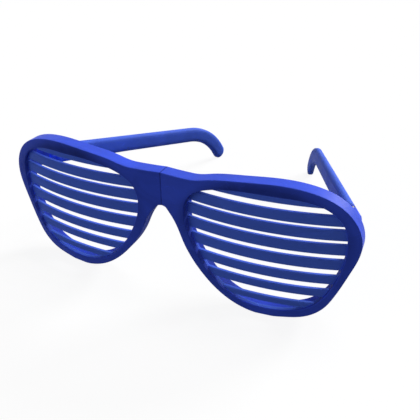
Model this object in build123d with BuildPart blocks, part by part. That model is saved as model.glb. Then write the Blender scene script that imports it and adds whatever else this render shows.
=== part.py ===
"""Slatted novelty glasses: a deep moulded front, two slatted inserts and two folding temples.

The glasses stand on the flats under both rims and on the two temple tips.
+X is the viewer's right, the front faces -Y, the temples run towards +Y, and +Z is up.
All lengths are in millimetres and all angles in degrees.
"""

import os
from math import cos, radians, sin, sqrt, tan

from build123d import *

os.makedirs("parts", exist_ok=True)

# Front: widths round the lens openings, depth and wrap
half_bridge = 9.8  # from the middle to each opening
rim_side = 4.1
rim_brow = 4.3
rim_foot = 3.3
rim_depth = 6.0
rim_edge_radius = 0.35
forward_x = 20.0  # where each half of the front comes furthest forward
bridge_curve_radius = 110.0  # plan curve from there in to the bridge
rim_curve_radius = 215.0  # plan curve from there out to the temple
foot_trim = 0.2  # taken off the lowest point of each rim to give it a flat to stand on

# Right half of the front, from the brow's corner round the rim to the top of the nose arch.
# Across, the shares run up to 1 over the half bridge and from 1 to 2 over the rim.
# Upwards they are shares of the front's height.
brow_middle_share = 0.923
brow_corner_shares = (1.032, 0.929)
outline_shares = [
    (1.158, 0.957),
    (1.343, 0.985),
    (1.530, 1.000),
    (1.699, 0.984),
    (1.848, 0.921),
    (1.953, 0.805),
    (2.000, 0.640),
    (1.963, 0.447),
    (1.893, 0.228),
    (1.848, 0.136),
    (1.746, 0.047),
    (1.638, 0.016),
    (1.537, 0.000),
    (1.313, 0.056),
    (1.115, 0.238),
    (0.944, 0.448),
    (0.485, 0.611),
    (0.225, 0.666),
]
arch_top_share = 0.678

# Lens opening
opening_width = 60.5
opening_height = 49.5
opening_draft = 0.7  # how far each wall of the opening closes in over the rim's depth

# Closed outline of the right opening, as shares of its width from the nose side
# and of its height from the bottom.
opening_shares = [
    (0.000, 0.700),
    (0.054, 0.885),
    (0.204, 0.968),
    (0.590, 1.000),
    (0.807, 0.980),
    (0.958, 0.855),
    (1.000, 0.671),
    (0.950, 0.297),
    (0.841, 0.091),
    (0.606, 0.000),
    (0.372, 0.036),
    (0.137, 0.279),
    (0.030, 0.530),
]

# Slatted insert, sprung into a groove round the opening
slat_thickness = 1.3
slat_bevel = 0.3
slat_curve_radius = 115.0
slat_curve_x = 31.5  # where the insert comes furthest forward
slat_setback = 1.1  # from the front of the rims to the insert there
band_depth = 1.0  # how far the insert's edge band reaches into the rim
seat_clearance = 0.05

# Top and bottom of the gap under each slat, as shares of the opening's height from its top.
# The last one runs on to the rim.
gap_edge_shares = [
    (0.054, 0.105),
    (0.190, 0.217),
    (0.306, 0.338),
    (0.428, 0.469),
    (0.560, 0.612),
    (0.692, 0.745),
    (0.816, 0.885),
    (0.940, 1.010),
]

# Moulding seam over the bridge
seam_width = 0.25
seam_depth = 0.2

# Temples
arm_thickness = 3.2
arm_height = 8.0
arm_root_height = 9.0
arm_taper_length = 40.0
arm_edge_radius = 1.1
arm_straight = 88.5  # from the hinge pin to the start of the ear bend
arm_drop = 11.4  # slope of the straight part
arm_toe_in = 19.5  # how far the open temples point inwards
bend_radius = 36.0
hook_angle = 62.0  # slope at the end of the ear bend

# Hinge: fork on the front, tongue on the temple, screw and nut
hinge_inset = 6.9  # from the rim's outer edge in to the pin
hinge_setback = 20.7  # from the front of the rims back to the pin
tongue_height = 3.2
hinge_play = 0.1  # above and below the tongue, and ahead of its round end
shoulder_play = 0.2  # from the fork's rounds to the temple's shoulder
stop_gap = 0.04  # left between fork and shoulder when the temple is open
lug_start = 11.0  # from the front of the rims back to the lug's root in the rim
screw_radius = 0.6
pin_clearance = 0.05
screw_head_radius = 1.0
screw_head_height = 0.6
screw_slot_width = 0.3
screw_slot_depth = 0.3
head_recess = 0.3
nut_flats = 2.0
nut_height = 0.9
nut_recess = 0.3
pocket_clearance = 0.05

overrun = 1.0  # past the material, for every cut

# Sizes and places worked out from those above
front_half_width = half_bridge + opening_width + rim_side
front_height = rim_foot + opening_height + rim_brow
hinge_x = front_half_width - hinge_inset
tip_radius = arm_height / 2
tip_run = arm_straight + bend_radius * (sin(radians(hook_angle)) - sin(radians(arm_drop)))
tip_fall = arm_straight * tan(radians(arm_drop))
tip_fall += bend_radius * (cos(radians(arm_drop)) - cos(radians(hook_angle)))
hinge_z = tip_radius + tip_fall
hook_reach = (tip_run + tip_radius - arm_edge_radius) * cos(radians(arm_toe_in))
hook_reach += (arm_thickness / 2 - arm_edge_radius) * sin(radians(arm_toe_in)) + arm_edge_radius
overall_depth = hinge_setback + hook_reach
front_y = -overall_depth / 2
hinge_y = front_y + hinge_setback

front_view = Plane.XZ.offset(-front_y)
curve_centre = (slat_curve_x, front_y + slat_setback + slat_curve_radius, 0)
curve_axis = Axis(curve_centre, (0, 0, 1))
comb_plane = Plane(origin=curve_centre, x_dir=(0, -1, 0), z_dir=(-1, 0, 0))
toe_sin = sin(radians(arm_toe_in))
toe_cos = cos(radians(arm_toe_in))
arm_plane = Plane(
    origin=(hinge_x, hinge_y, 0), x_dir=(-toe_sin, toe_cos, 0), z_dir=(toe_cos, toe_sin, 0)
)


def face_y(x):
    """Depth of the front's face at a distance x from the middle."""
    radius = bridge_curve_radius if x < forward_x else rim_curve_radius
    return front_y + radius - sqrt(radius**2 - (x - forward_x) ** 2)


def across(share):
    """Distance from the middle: up to 1 over the half bridge, then up to 2 at the rim's outer edge."""
    if share < 1:
        return share * half_bridge
    return half_bridge + (share - 1) * (front_half_width - half_bridge)


def front_outline():
    """The right half of the front's outline as seen from ahead."""
    corner = (across(brow_corner_shares[0]), brow_corner_shares[1] * front_height)
    drop = front_height + foot_trim
    rim = [(across(x), z * drop - foot_trim) for x, z in outline_shares]
    top = (0, brow_middle_share * front_height)
    arch = (0, arch_top_share * front_height)
    with BuildSketch(front_view) as outline:
        with BuildLine():
            Line(top, corner)
            Spline(corner, *rim, arch, tangents=[(corner[0], corner[1] - top[1]), (-1, 0)])
            Line(arch, top)
        make_face()
    return outline.sketch


def opening_outline(margin, plane=front_view):
    """The right lens opening as seen from ahead, grown by a margin on every side."""
    width = opening_width + 2 * margin
    height = opening_height + 2 * margin
    corner = (half_bridge - margin, rim_foot - margin)
    with BuildSketch(plane) as opening:
        with BuildLine():
            edge = [(corner[0] + x * width, corner[1] + z * height) for x, z in opening_shares]
            Spline(*edge, periodic=True)
        make_face()
    return opening.sketch


def slat_shell(clearance):
    """Section of the bowed sheet that the slats are cut from."""
    with BuildSketch(comb_plane) as shell:
        with Locations((slat_curve_radius - slat_thickness / 2, front_height / 2)):
            Rectangle(slat_thickness + 2 * clearance, front_height)
    return shell.sketch


through = overall_depth / 2

# The room inside a rim, closing in towards the back
with BuildPart() as opening_room:
    room_depth = face_y(front_half_width) + rim_depth + overrun - front_y
    back_margin = -opening_draft * room_depth / rim_depth
    back_outline = opening_outline(back_margin, front_view.offset(-room_depth))
    loft([opening_outline(0), back_outline], ruled=True)

# Gaps between the slats, flared at the front so that each slat is bevelled
with BuildPart() as slat_gaps:
    gap_back = slat_curve_radius - slat_thickness - overrun
    bevel_back = slat_curve_radius - slat_bevel
    bevel_front = slat_curve_radius + slat_bevel
    with BuildSketch(comb_plane):
        for top_share, bottom_share in gap_edge_shares:
            top = rim_foot + opening_height * (1 - top_share)
            bottom = rim_foot + opening_height * (1 - bottom_share)
            with BuildLine():
                upper = [(gap_back, top), (bevel_back, top), (bevel_front, top + 2 * slat_bevel)]
                lower = [(bevel_front, bottom - 2 * slat_bevel), (bevel_back, bottom), (gap_back, bottom)]
                Polyline(*upper, *lower, close=True)
            make_face()
    revolve(axis=curve_axis)
    add(opening_room.part, mode=Mode.INTERSECT)

# Slatted inserts, each cut from one bowed sheet
with BuildPart() as right_slat_insert:
    revolve(slat_shell(0), axis=curve_axis)
    extrude(opening_outline(band_depth), amount=-through, mode=Mode.INTERSECT)
    add(slat_gaps.part, mode=Mode.SUBTRACT)
right_slat_insert.part.label = "right_slat_insert"

with BuildPart() as left_slat_insert:
    mirror(right_slat_insert.part, about=Plane.YZ)
left_slat_insert.part.label = "left_slat_insert"

# The bar that the lug and the temple are both cut from
arm_slope = tan(radians(arm_drop))
arm_half = arm_height / 2 / cos(radians(arm_drop))
bend_middle = (
    arm_straight - bend_radius * sin(radians(arm_drop)),
    hinge_z - arm_straight * arm_slope - bend_radius * cos(radians(arm_drop)),
)


def on_bend(radius, slope):
    """A point of the ear bend, given where the bar slopes by that much."""
    run = radius * sin(radians(slope))
    rise = radius * cos(radians(slope))
    return (bend_middle[0] + run, bend_middle[1] + rise)


with BuildPart() as arm_bar:
    outer = bend_radius + arm_height / 2
    inner = bend_radius - arm_height / 2
    half_turn = (hook_angle + arm_drop) / 2
    root = -hinge_setback / toe_cos
    root_top = (root, hinge_z - root * arm_slope + arm_half)
    root_bottom = (root, root_top[1] - arm_root_height)
    hinge_bottom_point = (0, hinge_z + arm_half - arm_root_height)
    taper_end = (arm_taper_length, hinge_z - arm_taper_length * arm_slope - arm_half)
    tip_middle = on_bend(bend_radius, hook_angle)
    tip_end = (
        tip_middle[0] + tip_radius * cos(radians(hook_angle)),
        tip_middle[1] - tip_radius * sin(radians(hook_angle)),
    )
    with BuildSketch(arm_plane):
        with BuildLine():
            Line(root_top, on_bend(outer, arm_drop))
            ThreePointArc(*[on_bend(outer, slope) for slope in (arm_drop, half_turn, hook_angle)])
            ThreePointArc(on_bend(outer, hook_angle), tip_end, on_bend(inner, hook_angle))
            ThreePointArc(*[on_bend(inner, slope) for slope in (hook_angle, half_turn, arm_drop)])
            Polyline(on_bend(inner, arm_drop), taper_end, hinge_bottom_point, root_bottom, root_top)
        make_face()
    extrude(amount=arm_thickness / 2, both=True)
    sides = arm_bar.faces().sort_by(Axis(arm_plane.origin, arm_plane.z_dir))
    fillet((sides[0] + sides[-1]).edges(), radius=arm_edge_radius)

# Hinge screws and nuts
hinge_top = hinge_z + arm_half
hinge_bottom = hinge_top - arm_root_height
knuckle_radius = arm_thickness / 2
shoulder = knuckle_radius + shoulder_play
tongue_middle = (hinge_top + hinge_bottom) / 2
head_seat_z = hinge_top - head_recess - screw_head_height
nut_low_z = hinge_bottom + nut_recess
arm_room = root_top[1] + 2 * overrun


def over_pin(z):
    """A level plane centred on the hinge pin, with X along the open temple."""
    return Plane(origin=(hinge_x, hinge_y, z), x_dir=arm_plane.x_dir, z_dir=(0, 0, 1))


with BuildPart() as right_hinge_screw:
    with BuildSketch(over_pin(nut_low_z)):
        Circle(screw_radius)
    extrude(amount=head_seat_z - nut_low_z)
    with BuildSketch(over_pin(head_seat_z)):
        Circle(screw_head_radius)
    extrude(amount=screw_head_height)
    chamfer(right_hinge_screw.edges().group_by(Axis.Z)[-1], length=screw_head_height / 4)
    with BuildSketch(over_pin(head_seat_z + screw_head_height)):
        Rectangle(2 * screw_head_radius + overrun, screw_slot_width)
    extrude(amount=-screw_slot_depth, mode=Mode.SUBTRACT)
right_hinge_screw.part.label = "right_hinge_screw"

with BuildPart() as left_hinge_screw:
    mirror(right_hinge_screw.part, about=Plane.YZ)
left_hinge_screw.part.label = "left_hinge_screw"

with BuildPart() as right_hinge_nut:
    with BuildSketch(over_pin(nut_low_z)):
        RegularPolygon(nut_flats / 2, side_count=6, major_radius=False)
        Circle(screw_radius + pin_clearance / 2, mode=Mode.SUBTRACT)
    extrude(amount=nut_height)
right_hinge_nut.part.label = "right_hinge_nut"

with BuildPart() as left_hinge_nut:
    mirror(right_hinge_nut.part, about=Plane.YZ)
left_hinge_nut.part.label = "left_hinge_nut"

# Temples, each with a tongue between the fork's ears
with BuildPart() as temple_room:
    with BuildSketch(over_pin(-overrun)):
        with Locations((shoulder, 0)):
            Rectangle(overall_depth, 2 * arm_thickness, align=(Align.MIN, Align.CENTER))
    extrude(amount=arm_room)
    with BuildSketch(over_pin(tongue_middle - tongue_height / 2)):
        Circle(knuckle_radius)
        Rectangle(shoulder + overrun, arm_thickness, align=(Align.MIN, Align.CENTER))
    extrude(amount=tongue_height)

with BuildPart() as right_temple:
    add(arm_bar.part)
    add(temple_room.part, mode=Mode.INTERSECT)
    with BuildSketch(over_pin(-overrun)):
        Circle(screw_radius + pin_clearance)
    extrude(amount=arm_room, mode=Mode.SUBTRACT)
right_temple.part.label = "right_temple"

with BuildPart() as left_temple:
    mirror(right_temple.part, about=Plane.YZ)
left_temple.part.label = "left_temple"

# Lug and fork behind the outer end of the rim
with BuildPart() as right_lug:
    add(arm_bar.part)
    with BuildSketch(over_pin(-overrun)):
        lug_length = (hinge_setback - lug_start) / toe_cos
        Rectangle(lug_length, 2 * arm_thickness, align=(Align.MAX, Align.CENTER))
        Rectangle(shoulder - stop_gap, arm_thickness, align=(Align.MIN, Align.MAX))
        Circle(knuckle_radius)
    extrude(amount=arm_room, mode=Mode.INTERSECT)
    extrude(front_outline(), amount=-through, mode=Mode.INTERSECT)
    with BuildSketch(over_pin(tongue_middle - tongue_height / 2 - hinge_play)):
        with Locations((-knuckle_radius - hinge_play, 0)):
            Rectangle(arm_height, 2 * arm_thickness, align=(Align.MIN, Align.CENTER))
    extrude(amount=tongue_height + 2 * hinge_play, mode=Mode.SUBTRACT)
    with BuildSketch(over_pin(-overrun)):
        Circle(screw_radius + pin_clearance)
    extrude(amount=arm_room, mode=Mode.SUBTRACT)
    with BuildSketch(over_pin(head_seat_z)):
        Circle(screw_head_radius + pocket_clearance)
    extrude(amount=arm_height, mode=Mode.SUBTRACT)
    with BuildSketch(over_pin(nut_low_z + nut_height)):
        RegularPolygon(nut_flats / 2 + pocket_clearance, side_count=6, major_radius=False)
    extrude(amount=-arm_height, mode=Mode.SUBTRACT)

# Groove that the insert's edge band is sprung into
with BuildPart() as insert_room:
    revolve(slat_shell(seat_clearance), axis=curve_axis)
    extrude(opening_outline(band_depth + seat_clearance), amount=-through, mode=Mode.INTERSECT)

# Front frame: one half moulded to the outline, then mirrored, with the seam round the bridge
with BuildPart() as front_half:
    with BuildSketch():
        reach = front_half_width + overrun
        with BuildLine():
            for start, end in ((0, forward_x), (forward_x, reach)):
                middle = (start + end) / 2
                for setback in (0, rim_depth):
                    ThreePointArc(*[(x, face_y(x) + setback) for x in (start, middle, end)])
            for x in (0, reach):
                Line((x, face_y(x)), (x, face_y(x) + rim_depth))
        make_face()
    extrude(amount=front_height + overrun)
    extrude(front_outline(), amount=-through, mode=Mode.INTERSECT)
    add(opening_room.part, mode=Mode.SUBTRACT)
    rim_faces = front_half.faces().filter_by(GeomType.CYLINDER)
    fillet(rim_faces.edges().filter_by(GeomType.LINE, reverse=True), radius=rim_edge_radius)
    add(right_lug.part)
    add(insert_room.part, mode=Mode.SUBTRACT)

with BuildPart() as front_frame:
    add(front_half.part)
    mirror(front_half.part, about=Plane.YZ)
    bridge_height = (brow_middle_share - arch_top_share) * front_height
    bridge_middle_z = (brow_middle_share + arch_top_share) / 2 * front_height
    with BuildSketch(Plane.YZ):
        with Locations((face_y(0) + rim_depth / 2, bridge_middle_z)):
            Rectangle(rim_depth + overrun, bridge_height + overrun)
            Rectangle(rim_depth - 2 * seam_depth, bridge_height - 2 * seam_depth, mode=Mode.SUBTRACT)
    extrude(amount=seam_width / 2, both=True, mode=Mode.SUBTRACT)
front_frame.part.label = "front_frame"

pieces = [
    front_frame,
    left_slat_insert,
    right_slat_insert,
    left_temple,
    right_temple,
    left_hinge_screw,
    right_hinge_screw,
    left_hinge_nut,
    right_hinge_nut,
]
for piece in pieces:
    export_step(piece.part, f"parts/{piece.part.label}.step")
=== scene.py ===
from math import pi, radians

import bpy
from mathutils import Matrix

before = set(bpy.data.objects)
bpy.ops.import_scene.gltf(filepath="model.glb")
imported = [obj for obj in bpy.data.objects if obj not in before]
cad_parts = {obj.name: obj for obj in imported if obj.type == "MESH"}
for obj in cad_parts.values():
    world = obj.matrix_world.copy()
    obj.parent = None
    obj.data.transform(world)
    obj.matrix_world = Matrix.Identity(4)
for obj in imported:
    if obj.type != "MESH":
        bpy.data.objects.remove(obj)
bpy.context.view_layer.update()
scene = bpy.context.scene

# Front frame: one deep moulding of blue polystyrene with both rims, the bridge and the hinge forks.
# It comes out of the mould with a soft gloss, faint flow marks and a knit line over the bridge,
# which holds a little dirt, and handling leaves fine scratches and rubbed edges. Painted shade
# darkens the front round the openings, on their inner walls and on the walls under the nose arch.
front_blue = (0.050, 0.108, 0.830)
front_roughness = 0.50
front_flow = 0.70  # how far the flow marks vary the colour
front_rub = 0.30  # how far the smudges vary the roughness
plastic_gloss = 0.11
flow_mark_scale = 70.0  # marks about 15 mm across
flow_stretch = (1.6, 1, 1)  # drawn out along the front, the way the plastic ran
flow_swirl = 1.2
smudge_scale = 110.0
peel_scale = 650.0  # ripples of about 1.5 mm
peel_height = 0.000012
scratch_scale = 2600.0  # scratches about 0.2 mm wide
scratch_stretch = (1, 20, 12)  # and a few millimetres long
scratch_turns = (0.9, -0.6)
scratch_level = 0.69  # the noise is a scratch only above this
scratch_gain = 18.0
scratch_paling = 0.28
scratch_dulling = 0.14
scratch_height = 0.000006
edge_reach = 0.0007
edge_gain = 7.0
edge_paling = 0.26
edge_polish = -0.10
# Roughness added where the skin is darkened, by dirt in the knit line and by painted shade elsewhere.
dirt_and_shade_dulling = 0.3
# Painted shade darkens the front round the openings and on their walls, the slats at their ends and
# the walls under the nose arch; only the knit line's darkening is real dirt.
rim_middle = (0.040, 0.0295)  # middle of each lens opening, across and up
rim_half = (0.0300, 0.0245)  # half its width and height
beside_zone = (1.22, 1.0)  # beside an opening, as many times its half size from its middle
beside_rise = (-0.004, 0.018)  # the painted shade there deepens between these heights over its middle
beside_share = (0.2, 0.8)  # what there is of it at the bottom, and what is added by the top
beside_shade = 0.6
inside_shade = 0.72
wall_share = (0.45, 0.5)  # on an opening's wall, what facing sideways adds to what is everywhere
slat_end_zone = (0.84, 0.98)  # the slats' ends, as many times the half size from the middle
slat_end_shade = (0.25, 0.80)
seam_half_width = 0.0004
seam_dirt = 0.6
arch_zone = (0.026, 0.014)  # the nose arch, from the middle of the bridge
arch_lean = 0.25  # its walls face up no more than this
arch_shade = 0.6


def add_socket(group, name, kind, direction, value=None):
    """One named input or output of a shader node group."""
    socket = group.interface.new_socket(name=name, in_out=direction, socket_type=kind)
    if value is not None:
        socket.default_value = value


def link(tree, start, start_socket, end, end_socket):
    """Joins two nodes of a tree by the names of their sockets."""
    tree.links.new(start.outputs[start_socket], end.inputs[end_socket])


def add_math(tree, operation, *values, clamp=False):
    """A Math node whose inputs are numbers or sockets of other nodes."""
    node = tree.nodes.new("ShaderNodeMath")
    node.operation = operation
    node.use_clamp = clamp
    for place, value in enumerate(values):
        if isinstance(value, bpy.types.NodeSocket):
            tree.links.new(value, node.inputs[place])
        else:
            node.inputs[place].default_value = value
    return node.outputs["Value"]


def add_range(tree, value, reach, share=(0.0, 1.0), smooth=False):
    """How far a value has come over a reach, given between the two ends of a share."""
    node = tree.nodes.new("ShaderNodeMapRange")
    if smooth:
        node.interpolation_type = "SMOOTHSTEP"
    for name, number in zip(("From Min", "From Max", "To Min", "To Max"), (*reach, *share)):
        node.inputs[name].default_value = number
    tree.links.new(value, node.inputs["Value"])
    return node.outputs["Result"]


def add_axes(tree, kind, socket):
    """The X, Y and Z of a node's vector: a point's place, or the way that its surface faces."""
    source = tree.nodes.new(kind)
    axes = tree.nodes.new("ShaderNodeSeparateXYZ")
    link(tree, source, socket, axes, "Vector")
    return axes.outputs["X"], axes.outputs["Y"], axes.outputs["Z"]


def add_noise(tree, scale, detail, roughness=0.5, stretch=(1, 1, 1), turn=0.0):
    """Noise on the piece's own coordinates, drawn out so many times along each axis and turned."""
    place = tree.nodes.new("ShaderNodeTexCoord")
    mapping = tree.nodes.new("ShaderNodeMapping")
    mapping.vector_type = "TEXTURE"
    mapping.inputs["Scale"].default_value = stretch
    mapping.inputs["Rotation"].default_value = (turn / 2, turn, turn)
    noise = tree.nodes.new("ShaderNodeTexNoise")
    noise.inputs["Scale"].default_value = scale
    noise.inputs["Detail"].default_value = detail
    noise.inputs["Roughness"].default_value = roughness
    link(tree, place, "Object", mapping, "Vector")
    link(tree, mapping, "Vector", noise, "Vector")
    return noise


def make_scratch_group():
    """Mask of fine straight scratches that cross in two directions."""
    group = bpy.data.node_groups.new("handling_scratches", "ShaderNodeTree")
    add_socket(group, "Scratches", "NodeSocketFloat", "OUTPUT")
    out = group.nodes.new("NodeGroupOutput")
    layers = []
    for turn in scratch_turns:
        streak = add_noise(group, scratch_scale, detail=1.0, stretch=scratch_stretch, turn=turn)
        above = add_math(group, "SUBTRACT", streak.outputs["Fac"], scratch_level)
        layers.append(add_math(group, "MULTIPLY", above, scratch_gain, clamp=True))
    most = add_math(group, "MAXIMUM", *layers)
    patch = add_noise(group, flow_mark_scale / 2, detail=2.0)
    patchy = add_math(group, "MULTIPLY", most, patch.outputs["Fac"])
    group.links.new(patchy, out.inputs["Scratches"])
    return group


def make_edge_group():
    """Mask of the narrow band along a piece's outer edges that hands rub smooth."""
    group = bpy.data.node_groups.new("rubbed_edges", "ShaderNodeTree")
    add_socket(group, "Edges", "NodeSocketFloat", "OUTPUT")
    out = group.nodes.new("NodeGroupOutput")
    rounded = group.nodes.new("ShaderNodeBevel")
    rounded.samples = 6
    rounded.inputs["Radius"].default_value = edge_reach
    geometry = group.nodes.new("ShaderNodeNewGeometry")
    match = group.nodes.new("ShaderNodeVectorMath")
    match.operation = "DOT_PRODUCT"
    link(group, rounded, "Normal", match, 0)
    link(group, geometry, "Normal", match, 1)
    turned = add_math(group, "SUBTRACT", 1.0, match.outputs["Value"])
    spread = add_math(group, "MULTIPLY", turned, edge_gain, clamp=True)
    uneven = add_noise(group, smudge_scale * 4, detail=4.0)
    worn = add_math(group, "MULTIPLY", spread, uneven.outputs["Fac"])
    group.links.new(worn, out.inputs["Edges"])
    return group


def make_moulded_group():
    """Colour, roughness and height of a moulded plastic skin that has been handled."""
    group = bpy.data.node_groups.new("moulded_skin", "ShaderNodeTree")
    add_socket(group, "Colour", "NodeSocketColor", "INPUT", (0.5, 0.5, 0.5, 1))
    add_socket(group, "Roughness", "NodeSocketFloat", "INPUT", 0.4)
    add_socket(group, "Flow", "NodeSocketFloat", "INPUT", 0.1)
    add_socket(group, "Rub", "NodeSocketFloat", "INPUT", 0.1)
    add_socket(group, "Dirt_and_shade", "NodeSocketFloat", "INPUT", 0.0)
    add_socket(group, "Colour", "NodeSocketColor", "OUTPUT")
    add_socket(group, "Roughness", "NodeSocketFloat", "OUTPUT")
    add_socket(group, "Height", "NodeSocketFloat", "OUTPUT")
    given = group.nodes.new("NodeGroupInput")
    out = group.nodes.new("NodeGroupOutput")
    scratch_node = group.nodes.new("ShaderNodeGroup")
    scratch_node.node_tree = handling_scratches
    scratches = scratch_node.outputs["Scratches"]
    edge_node = group.nodes.new("ShaderNodeGroup")
    edge_node.node_tree = rubbed_edges
    edges = edge_node.outputs["Edges"]

    flow = add_noise(group, flow_mark_scale, detail=3.0, stretch=flow_stretch)
    flow.inputs["Distortion"].default_value = flow_swirl
    centred = add_math(group, "SUBTRACT", flow.outputs["Fac"], 0.5)
    flowed = add_math(group, "MULTIPLY_ADD", centred, given.outputs["Flow"], 1.0)
    worn = add_math(group, "MULTIPLY_ADD", edges, edge_paling, flowed)
    scratched = add_math(group, "MULTIPLY_ADD", scratches, scratch_paling, worn)
    # This input darkens the colour: dirt in the knit line, and painted shade round the openings, on
    # their walls, at the slats' ends and under the nose arch.
    soiled = add_math(group, "SUBTRACT", scratched, given.outputs["Dirt_and_shade"])
    tint = group.nodes.new("ShaderNodeHueSaturation")
    group.links.new(soiled, tint.inputs["Value"])
    link(group, given, "Colour", tint, "Color")
    link(group, tint, "Color", out, "Colour")

    smudge = add_noise(group, smudge_scale, detail=6.0, roughness=0.7)
    smudged = add_math(group, "SUBTRACT", smudge.outputs["Fac"], 0.5)
    rubbed = add_math(
        group, "MULTIPLY_ADD", smudged, given.outputs["Rub"], given.outputs["Roughness"]
    )
    polished = add_math(group, "MULTIPLY_ADD", edges, edge_polish, rubbed)
    rough = add_math(group, "MULTIPLY_ADD", scratches, scratch_dulling, polished)
    dull = add_math(group, "MULTIPLY_ADD", given.outputs["Dirt_and_shade"], dirt_and_shade_dulling, rough)
    group.links.new(dull, out.inputs["Roughness"])

    peel = add_noise(group, peel_scale, detail=2.0)
    cut = add_math(group, "MULTIPLY", scratches, -scratch_height / peel_height)
    height = add_math(group, "ADD", peel.outputs["Fac"], cut)
    group.links.new(height, out.inputs["Height"])
    return group


def make_rim_shade_group():
    """Masks of painted shade beside the openings, on their inner walls and at the slats' ends."""
    group = bpy.data.node_groups.new("rim_shade", "ShaderNodeTree")
    add_socket(group, "Beside", "NodeSocketFloat", "OUTPUT")
    add_socket(group, "Inside", "NodeSocketFloat", "OUTPUT")
    add_socket(group, "Ends", "NodeSocketFloat", "OUTPUT")
    out = group.nodes.new("NodeGroupOutput")
    along, _, up = add_axes(group, "ShaderNodeTexCoord", "Object")
    facing_along, facing_back, facing_up = add_axes(group, "ShaderNodeNewGeometry", "Normal")

    across = add_math(group, "SUBTRACT", add_math(group, "ABSOLUTE", along), rim_middle[0])
    upward = add_math(group, "SUBTRACT", up, rim_middle[1])
    squares = []
    for offset, half in zip((across, upward), rim_half):
        square = add_math(group, "POWER", add_math(group, "ABSOLUTE", offset), 2.0)
        squares.append(add_math(group, "DIVIDE", square, half**2))
    apart = add_math(group, "SQRT", add_math(group, "ADD", *squares))

    # Beside: painted shade on the front round each opening, deeper over its top.
    near = add_range(group, apart, beside_zone, smooth=True)
    ahead = add_math(group, "MULTIPLY", facing_back, -1.0, clamp=True)
    beside = add_math(group, "MULTIPLY", near, ahead)
    high = add_range(group, upward, beside_rise)
    upper = add_math(group, "MULTIPLY_ADD", high, beside_share[1], beside_share[0])
    group.links.new(add_math(group, "MULTIPLY", beside, upper), out.inputs["Beside"])

    # Inside: painted shade on the openings' inner walls, stronger where they face sideways.
    turned = add_math(group, "SUBTRACT", 1.0, add_math(group, "ABSOLUTE", facing_back))
    sideways = add_math(group, "ABSOLUTE", facing_along)
    steeper = add_math(group, "MULTIPLY_ADD", sideways, *wall_share)
    outward = add_math(group, "MULTIPLY", add_math(group, "SIGN", along), facing_along)
    leaving = add_math(group, "MULTIPLY", outward, across)
    leaning = add_math(group, "MULTIPLY_ADD", facing_up, upward, leaving)
    inner = add_math(group, "MULTIPLY", turned, add_math(group, "LESS_THAN", leaning, 0.0))
    group.links.new(add_math(group, "MULTIPLY", inner, steeper), out.inputs["Inside"])

    # Ends: painted shade that darkens the slats towards their ends at the rims' walls.
    ends = add_range(group, apart, slat_end_zone, slat_end_shade, smooth=True)
    ended = add_math(group, "MULTIPLY", turned, ends)
    group.links.new(add_math(group, "MULTIPLY", ended, steeper), out.inputs["Ends"])
    return group


def make_seam_group():
    """Masks of the dirt in the knit line of the bridge and of painted shade under the nose arch."""
    group = bpy.data.node_groups.new("seam_dirt", "ShaderNodeTree")
    add_socket(group, "Seam", "NodeSocketFloat", "OUTPUT")
    add_socket(group, "Arch", "NodeSocketFloat", "OUTPUT")
    out = group.nodes.new("NodeGroupOutput")
    along, _, _ = add_axes(group, "ShaderNodeTexCoord", "Object")
    facing_along, facing_back, facing_up = add_axes(group, "ShaderNodeNewGeometry", "Normal")
    aside = add_math(group, "ABSOLUTE", along)
    line = add_range(group, aside, (seam_half_width, 0.0), (0.0, seam_dirt))
    group.links.new(line, out.inputs["Seam"])

    # Arch: painted shade on the walls under the nose arch.
    turned = add_math(group, "SUBTRACT", 1.0, add_math(group, "ABSOLUTE", facing_back))
    under = add_math(group, "LESS_THAN", facing_up, arch_lean)
    meeting = add_math(group, "MULTIPLY", facing_along, along)
    inward = add_math(group, "LESS_THAN", meeting, 0.0)
    near = add_range(group, aside, arch_zone, smooth=True)
    hollow = add_math(group, "MULTIPLY", add_math(group, "MULTIPLY", turned, under), inward)
    arched = add_math(group, "MULTIPLY", hollow, near)
    group.links.new(add_math(group, "MULTIPLY", arched, arch_shade), out.inputs["Arch"])
    return group


handling_scratches = make_scratch_group()
rubbed_edges = make_edge_group()
moulded_skin = make_moulded_group()
rim_shade = make_rim_shade_group()


def make_plastic(name, colour, roughness, flow, rub):
    """A moulded plastic whose shader takes its colour, roughness and bump from the skin group."""
    material = bpy.data.materials.new(name)
    material.use_nodes = True
    tree = material.node_tree
    shader = tree.nodes["Principled BSDF"]
    shader.inputs["Specular IOR Level"].default_value = plastic_gloss
    skin = tree.nodes.new("ShaderNodeGroup")
    skin.name = "skin"
    skin.node_tree = moulded_skin
    skin.inputs["Colour"].default_value = (*colour, 1)
    skin.inputs["Roughness"].default_value = roughness
    skin.inputs["Flow"].default_value = flow
    skin.inputs["Rub"].default_value = rub
    link(tree, skin, "Colour", shader, "Base Color")
    link(tree, skin, "Roughness", shader, "Roughness")
    bump = tree.nodes.new("ShaderNodeBump")
    bump.inputs["Distance"].default_value = peel_height
    link(tree, skin, "Height", bump, "Height")
    link(tree, bump, "Normal", shader, "Normal")
    return material


def dress(node, material):
    """Gives a piece one material all over."""
    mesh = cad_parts[node].data
    mesh.materials.clear()
    mesh.materials.append(material)


front_plastic = make_plastic("front_plastic", front_blue, front_roughness, front_flow, front_rub)
front_tree = front_plastic.node_tree
rim_masks = front_tree.nodes.new("ShaderNodeGroup")
rim_masks.node_tree = rim_shade
seam_masks = front_tree.nodes.new("ShaderNodeGroup")
seam_masks.node_tree = make_seam_group()
# Painted shade round and inside the openings and under the nose arch, with real dirt in the knit
# line, darkens the front.
beside = add_math(front_tree, "MULTIPLY", rim_masks.outputs["Beside"], beside_shade)
inside = add_math(front_tree, "MULTIPLY", rim_masks.outputs["Inside"], inside_shade)
around = add_math(front_tree, "MAXIMUM", beside, inside)
middle = add_math(front_tree, "MAXIMUM", seam_masks.outputs["Seam"], seam_masks.outputs["Arch"])
front_dirt_and_shade = add_math(front_tree, "MAXIMUM", around, middle)
front_tree.links.new(front_dirt_and_shade, front_tree.nodes["skin"].inputs["Dirt_and_shade"])
dress("front_frame", front_plastic)

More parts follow.
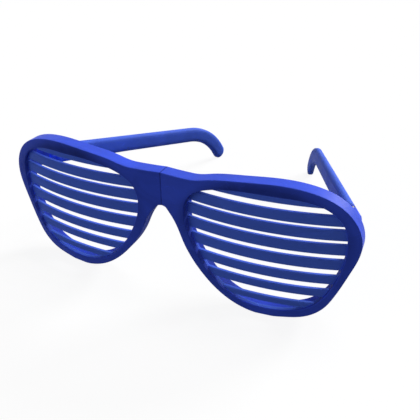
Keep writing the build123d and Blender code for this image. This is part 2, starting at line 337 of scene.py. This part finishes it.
# Slat inserts: two grilles of eight bowed slats, moulded in a slightly paler blue and sprung into the
# grooves of the rims. They are thin, so they took up less polish from their mould.
slat_blue = (0.092, 0.195, 0.960)
slat_roughness = 0.55
slat_flow = 0.36
slat_rub = 0.24
slat_plastic = make_plastic("slat_plastic", slat_blue, slat_roughness, slat_flow, slat_rub)
slat_tree = slat_plastic.node_tree
# Painted shade: the slats darken towards their ends, where they meet the rims' walls.
slat_masks = slat_tree.nodes.new("ShaderNodeGroup")
slat_masks.node_tree = rim_shade
link(slat_tree, slat_masks, "Ends", slat_tree.nodes["skin"], "Dirt_and_shade")
for side in ("left", "right"):
    dress(f"{side}_slat_insert", slat_plastic)

# Temples: two flat arms with rounded edges, moulded in the same blue as the front and bent down
# behind the ear. Their colour is written paler and greener than the front's, to paint a sheen on
# them. Their sides are a little crowned, and they are handled the most, so their shine is the
# least even.
temple_blue_and_sheen = (0.072, 0.160, 0.830)
temple_roughness = 0.58
temple_flow = 0.36
temple_rub = 0.30
temple_crown = 0.004
temple_plastic = make_plastic(
    "temple_plastic", temple_blue_and_sheen, temple_roughness, temple_flow, temple_rub
)
temple_tree = temple_plastic.node_tree
crowned = temple_tree.nodes.new("ShaderNodeBevel")
crowned.samples = 8
crowned.inputs["Radius"].default_value = temple_crown
link(temple_tree, crowned, "Normal", temple_tree.nodes["Bump"], "Normal")
for side in ("left", "right"):
    dress(f"{side}_temple", temple_plastic)

# Hinge screws and nuts: small turned steel screws through fork and tongue, each held by a hexagonal
# nut sunk in the lower ear. Turning leaves fine rings, and oil stains the metal a little.
steel_grey = (0.56, 0.57, 0.60)
steel_stain = (0.40, 0.39, 0.38)
stain_scale = 900.0
ring_scale = 9000.0
ring_stretch = (50, 50, 1)  # flat rings round the screw's own upright axis
steel_gloss = (0.22, 0.45)
screw_steel = bpy.data.materials.new("screw_steel")
screw_steel.use_nodes = True
steel_tree = screw_steel.node_tree
steel = steel_tree.nodes["Principled BSDF"]
steel.inputs["Metallic"].default_value = 1.0
steel_patch = add_noise(steel_tree, stain_scale, detail=3.0)
steel_mix = steel_tree.nodes.new("ShaderNodeMix")
steel_mix.data_type = "RGBA"
steel_mix.inputs["A"].default_value = (*steel_grey, 1)
steel_mix.inputs["B"].default_value = (*steel_stain, 1)
link(steel_tree, steel_patch, "Fac", steel_mix, "Factor")
link(steel_tree, steel_mix, "Result", steel, "Base Color")
steel_rings = add_noise(steel_tree, ring_scale, detail=1.0, stretch=ring_stretch)
steel_rough = add_range(steel_tree, steel_rings.outputs["Fac"], (0.0, 1.0), steel_gloss)
steel_tree.links.new(steel_rough, steel.inputs["Roughness"])
for side in ("left", "right"):
    dress(f"{side}_hinge_screw", screw_steel)
    dress(f"{side}_hinge_nut", screw_steel)

# Floor: a plain white table that fades into the background and keeps the soft shadow. The glasses
# see it as a dark grey, so that it throws little light up at them.
floor_size = 6.0
floor_grey = 0.12
shadow_grey = 0.15  # how strongly a shadow shows on the white
floor_brightness = 0.88
bpy.ops.object.select_all(action="DESELECT")
bpy.ops.mesh.primitive_plane_add(size=floor_size)
floor = bpy.context.object
floor.name = "floor"


def make_white_seen(tree, background, lit):
    """Mixes in plain white where the camera, gloss or glass looks straight at a surface."""
    path = tree.nodes.new("ShaderNodeLightPath")
    rays = path.outputs
    seen = add_math(tree, "ADD", rays["Is Camera Ray"], rays["Is Glossy Ray"], clamp=True)
    clear = add_math(tree, "ADD", seen, rays["Is Transmission Ray"], clamp=True)
    mix = tree.nodes.new("ShaderNodeMixShader")
    tree.links.new(clear, mix.inputs["Fac"])
    tree.links.new(lit.outputs[0], mix.inputs[1])
    tree.links.new(background.outputs[0], mix.inputs[2])
    return mix


floor_white = bpy.data.materials.new("floor_white")
floor_white.use_nodes = True
floor_tree = floor_white.node_tree
floor_tree.nodes.remove(floor_tree.nodes["Principled BSDF"])
floor_lit = floor_tree.nodes.new("ShaderNodeBsdfDiffuse")
floor_lit.inputs["Color"].default_value = (floor_grey, floor_grey, floor_grey, 1)
floor_shadow = floor_tree.nodes.new("ShaderNodeBsdfDiffuse")
floor_shadow.inputs["Color"].default_value = (shadow_grey, shadow_grey, shadow_grey, 1)
floor_glow = floor_tree.nodes.new("ShaderNodeEmission")
floor_glow.inputs["Strength"].default_value = floor_brightness
floor_seen = floor_tree.nodes.new("ShaderNodeAddShader")
floor_tree.links.new(floor_shadow.outputs[0], floor_seen.inputs[0])
floor_tree.links.new(floor_glow.outputs[0], floor_seen.inputs[1])
floor_mix = make_white_seen(floor_tree, floor_seen, floor_lit)
link(floor_tree, floor_mix, "Shader", floor_tree.nodes["Material Output"], "Surface")
floor.data.materials.append(floor_white)

# Light: a dim white room that the camera sees as plain white, a lamp high above, two low behind the
# glasses on their right, one of them without shadows, and a weak one ahead on their left.
room_strength = 0.09
room_white = (1, 1, 1, 1)
world = bpy.data.worlds.new("studio")
scene.world = world
world.use_nodes = True
world_tree = world.node_tree
room = world_tree.nodes["Background"]
room.inputs["Color"].default_value = room_white
room.inputs["Strength"].default_value = room_strength
white = world_tree.nodes.new("ShaderNodeBackground")
white.inputs["Color"].default_value = room_white
room_mix = make_white_seen(world_tree, white, room)
link(world_tree, room_mix, "Shader", world_tree.nodes["World Output"], "Surface")


def add_sun(name, azimuth, elevation, spread, level, shadow=True):
    """A broad lamp; at level 1 a surface that faces it renders as its colour is written."""
    sun = bpy.data.lights.new(name, "SUN")
    sun.use_shadow = shadow
    sun.angle = radians(spread)
    sun.energy = pi * level
    lamp = bpy.data.objects.new(name, sun)
    scene.collection.objects.link(lamp)
    lamp.rotation_euler = (radians(90 - elevation), 0, radians(azimuth))


add_sun("top_lamp", azimuth=160, elevation=68, spread=25, level=0.24)
add_sun("rim_lamp", azimuth=148, elevation=27, spread=20, level=0.62)
add_sun("fill_lamp", azimuth=148, elevation=27, spread=30, level=0.38, shadow=False)
add_sun("front_lamp", azimuth=-35, elevation=15, spread=60, level=0.175)

# Camera: above and to the right of the front, where the photograph was taken from. Its lens is the
# one that gives the photograph's perspective.
image_side = 420
focal_pixels = 500
camera_data = bpy.data.cameras.new("camera")
camera_data.sensor_width = 36.0
camera_data.lens = focal_pixels / image_side * camera_data.sensor_width
camera = bpy.data.objects.new("camera", camera_data)
scene.collection.objects.link(camera)
camera.location = (0.0833, -0.2063, 0.1355)
camera.rotation_euler = (radians(58.94), radians(0.02), radians(23.9))
scene.camera = camera
scene.view_settings.view_transform = "Standard"
